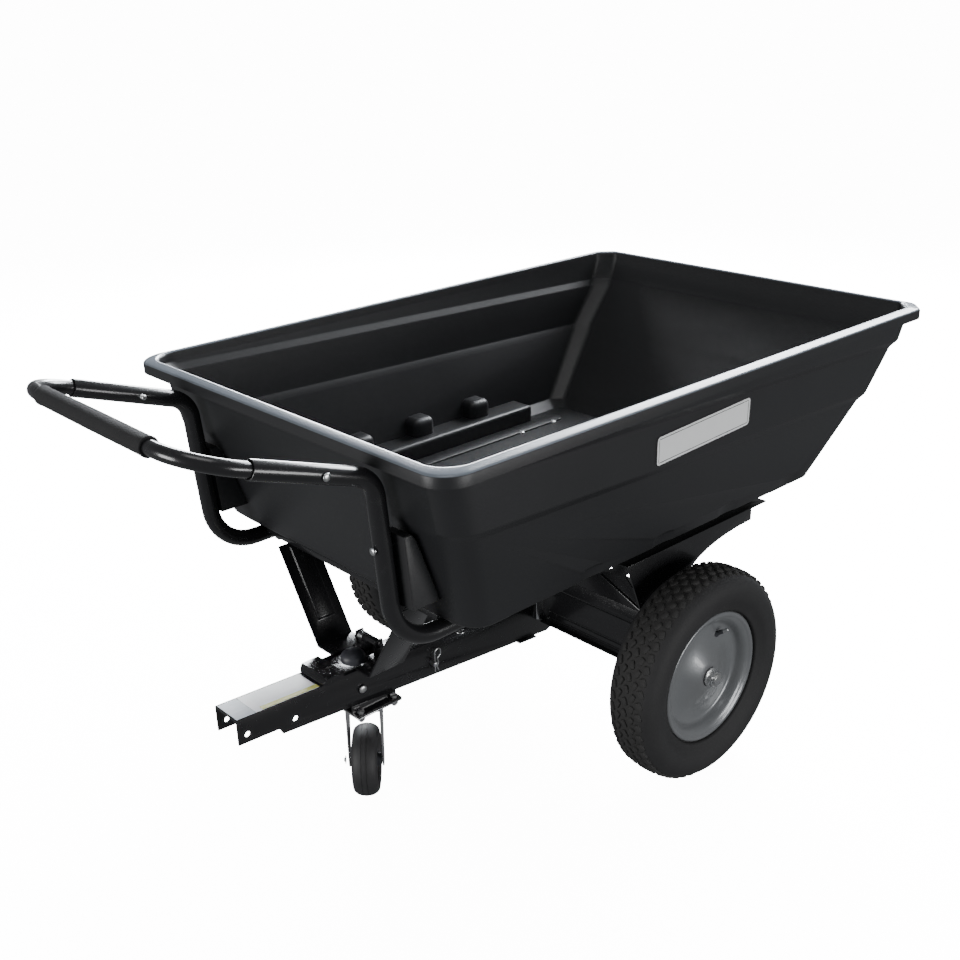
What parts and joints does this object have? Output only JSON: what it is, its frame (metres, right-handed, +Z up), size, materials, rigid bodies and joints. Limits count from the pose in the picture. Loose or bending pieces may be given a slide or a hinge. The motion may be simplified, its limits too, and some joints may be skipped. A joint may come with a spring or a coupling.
{
  "type": "garden tractor trailer",
  "caption": "Tipping garden trailer: moulded tub on pneumatic wheels, channel drawbar with hitch, front caster, foot latch and a tubular push handle.",
  "frame": {"origin": "centre of the bounding box on the ground", "axes": "+X from the hitch to the rear of the tub, +Y to the side away from the foot pedal, +Z up"},
  "size_m": [1.4566, 0.81, 0.7892],
  "materials": {
    "gloss_black_steel": "gloss black powder coat",
    "charcoal_tub_plastic": "charcoal moulded polyethylene, satin",
    "zinc_plate": "bright zinc plate",
    "grey_rim_paint": "grey paint",
    "tyre_rubber": "black rubber",
    "grip_foam": "soft black foam",
    "black_plastic": "black moulded plastic"
  },
  "bodies": {
    "drawbar": {"drawbar_channel": "gloss_black_steel", "pivot_sleeve": "zinc_plate", "clevis_pin": "zinc_plate", "wire_clip": "zinc_plate", "stop_plate": "zinc_plate", "stop_bolt": "zinc_plate", "catch_bolt": "zinc_plate", "caster_bracket": "gloss_black_steel", "caster_plate": "zinc_plate", "caster_bolt_front_near": "zinc_plate", "caster_bolt_front_far": "zinc_plate", "caster_bolt_rear_near": "zinc_plate", "caster_bolt_rear_far": "zinc_plate", "king_pin": "zinc_plate"},
    "tub_frame": {"axle_beam": "gloss_black_steel", "axle_nut_far": "zinc_plate", "axle_nut_near": "zinc_plate", "axle_shaft": "zinc_plate", "cross_member_bolt_far": "zinc_plate", "cross_member_bolt_near": "zinc_plate", "floor_bolt_front_far": "zinc_plate", "floor_bolt_front_near": "zinc_plate", "floor_bolt_middle_far": "zinc_plate", "floor_bolt_middle_near": "zinc_plate", "floor_bolt_rear_far": "zinc_plate", "floor_bolt_rear_near": "zinc_plate", "foam_grip": "grip_foam", "front_cross_member": "gloss_black_steel", "handle_bar": "gloss_black_steel", "handle_bolt_far": "zinc_plate", "handle_bolt_near": "zinc_plate", "latch_pin": "zinc_plate", "latch_spring": "zinc_plate", "leg_bolt_far": "zinc_plate", "leg_bolt_near": "zinc_plate", "pivot_bracket": "zinc_plate", "saddle": "gloss_black_steel", "side_plate_far": "gloss_black_steel", "side_plate_near": "gloss_black_steel", "side_tube_far": "gloss_black_steel", "side_tube_near": "gloss_black_steel", "strut_far": "gloss_black_steel", "strut_near": "gloss_black_steel", "tub": "charcoal_tub_plastic"},
    "latch": {"latch_lever": "gloss_black_steel", "pedal_pad": "black_plastic"},
    "wheel_near": {"tyre_near": "tyre_rubber", "rim_near": "grey_rim_paint", "hub_near": "grey_rim_paint", "valve_near": "black_plastic"},
    "wheel_far": {"tyre_far": "tyre_rubber", "rim_far": "grey_rim_paint", "hub_far": "grey_rim_paint", "valve_far": "black_plastic"},
    "caster_swivel": {"swivel_race": "zinc_plate", "caster_fork": "zinc_plate", "caster_axle_bolt": "zinc_plate"},
    "caster_wheel": {"caster_tyre": "tyre_rubber", "caster_hub": "black_plastic"}
  },
  "joints": [
    {"name": "tip", "type": "hinge", "parent": "drawbar", "child": "tub_frame", "pos_m": [0.12825, 0, 0.19], "axis": [0, 1, 0], "range_deg": [0, 50]},
    {"name": "latch_pedal", "type": "hinge", "parent": "tub_frame", "child": "latch", "pos_m": [-0.29675, 0, 0.28], "axis": [0, -1, 0], "range_deg": [0, 7], "stiffness_Nm_per_rad": 0.8, "springref_deg": -17.19},
    {"name": "wheel_near_spin", "type": "hinge", "parent": "tub_frame", "child": "wheel_near", "pos_m": [0.12825, -0.356, 0.19], "axis": [0, 1, 0], "continuous": true},
    {"name": "wheel_far_spin", "type": "hinge", "parent": "tub_frame", "child": "wheel_far", "pos_m": [0.12825, 0.356, 0.19], "axis": [0, 1, 0], "continuous": true},
    {"name": "caster_turn", "type": "hinge", "parent": "drawbar", "child": "caster_swivel", "pos_m": [-0.31675, 0, 0.15], "axis": [0, 0, 1], "continuous": true},
    {"name": "caster_roll", "type": "hinge", "parent": "caster_swivel", "child": "caster_wheel", "pos_m": [-0.32746, -0.01189, 0.062], "axis": [0.7431, -0.6691, 0], "continuous": true}
  ]
}
